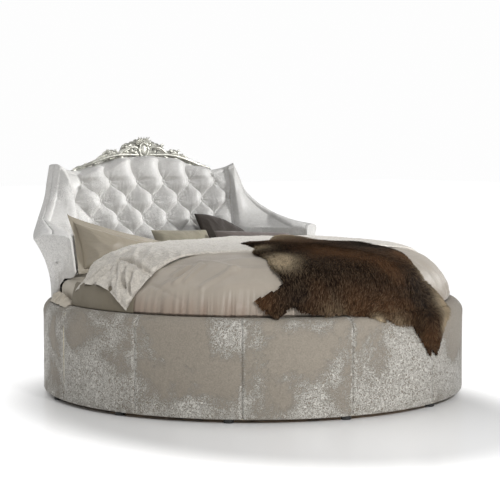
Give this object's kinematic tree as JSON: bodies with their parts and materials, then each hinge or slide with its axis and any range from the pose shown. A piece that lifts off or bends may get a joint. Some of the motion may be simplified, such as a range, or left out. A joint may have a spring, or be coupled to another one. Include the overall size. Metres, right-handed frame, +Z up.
{
  "type": "round bed",
  "caption": "Round upholstered bed with a curved, winged and button-tufted headboard under a carved crest, dressed with duvet, pillows and a fur throw.",
  "frame": {"origin": "on the floor under the middle of the round base, at the centre support foot's underside", "axes": "+Z up, +Y towards the head of the bed, +X to the right of someone at the foot who looks at the headboard"},
  "size_m": [2.2998, 2.3301, 1.388],
  "materials": {
    "base_velvet": "crushed velvet with silvery crackle",
    "headboard_satin": "silvery satin velvet",
    "silver_leaf": "carved wood under aged silver leaf",
    "frame_wood": "plain sawn softwood and birch ply",
    "upholstery_foam": "polyurethane foam",
    "frame_steel": "black powder coat",
    "zinc_bolts": "zinc plated",
    "glide_plastic": "moulded black nylon",
    "mattress_ticking": "woven ticking",
    "sheet_cotton": "cream cotton sateen",
    "duvet_satin": "champagne satin",
    "turnback_jacquard": "silvery puckered jacquard",
    "fur_pile": "long dark-brown pile with tan patches",
    "pillow_satin": "champagne satin with a flange",
    "pillow_olive": "olive-beige satin",
    "cushion_dark": "dark brown plush",
    "cushion_mauve": "grey-mauve satin"
  },
  "bodies": {
    "root": {"arm_facing_left": "headboard_satin", "arm_facing_right": "headboard_satin", "back_pillow": "pillow_olive", "base_panel_01": "base_velvet", "base_panel_02": "base_velvet", "base_panel_03": "base_velvet", "base_panel_04": "base_velvet", "base_panel_05": "base_velvet", "base_panel_06": "base_velvet", "base_panel_07": "base_velvet", "base_panel_08": "base_velvet", "base_panel_09": "base_velvet", "base_panel_10": "base_velvet", "base_panel_11": "base_velvet", "base_panel_12": "base_velvet", "base_panel_13": "base_velvet", "beam_hangers": "frame_steel", "centre_beam": "frame_steel", "centre_foam": "upholstery_foam", "crest_board": "silver_leaf", "crest_cartouche": "silver_leaf", "crest_dowels": "frame_wood", "crest_scroll_left": "silver_leaf", "crest_scroll_right": "silver_leaf", "dark_cushion": "cushion_dark", "duvet": "duvet_satin", "duvet_turnback": "turnback_jacquard", "fitted_sheet": "sheet_cotton", "front_pillow": "pillow_satin", "fur_throw": "fur_pile", "grey_cushion": "cushion_mauve", "headboard_back_board": "frame_wood", "headboard_back_cover": "headboard_satin", "headboard_bolts": "zinc_bolts", "headboard_posts": "frame_steel", "headboard_ribs": "frame_wood", "joint_bolts": "zinc_bolts", "joint_plates": "frame_steel", "mattress": "mattress_ticking", "ring_facing_boards": "frame_wood", "ring_foam": "upholstery_foam", "ring_glides": "glide_plastic", "ring_lower_rails": "frame_wood", "ring_upper_rails": "frame_wood", "ring_uprights": "frame_wood", "second_pillow": "pillow_satin", "side_beams": "frame_steel", "slat_battens": "frame_wood", "slats": "frame_wood", "support_feet": "glide_plastic", "support_legs": "frame_steel", "tuft_buttons": "headboard_satin", "tufted_cover": "headboard_satin", "wing_cover_left": "headboard_satin", "wing_cover_right": "headboard_satin", "wing_foam_left": "upholstery_foam", "wing_foam_right": "upholstery_foam"}
  },
  "joints": []
}
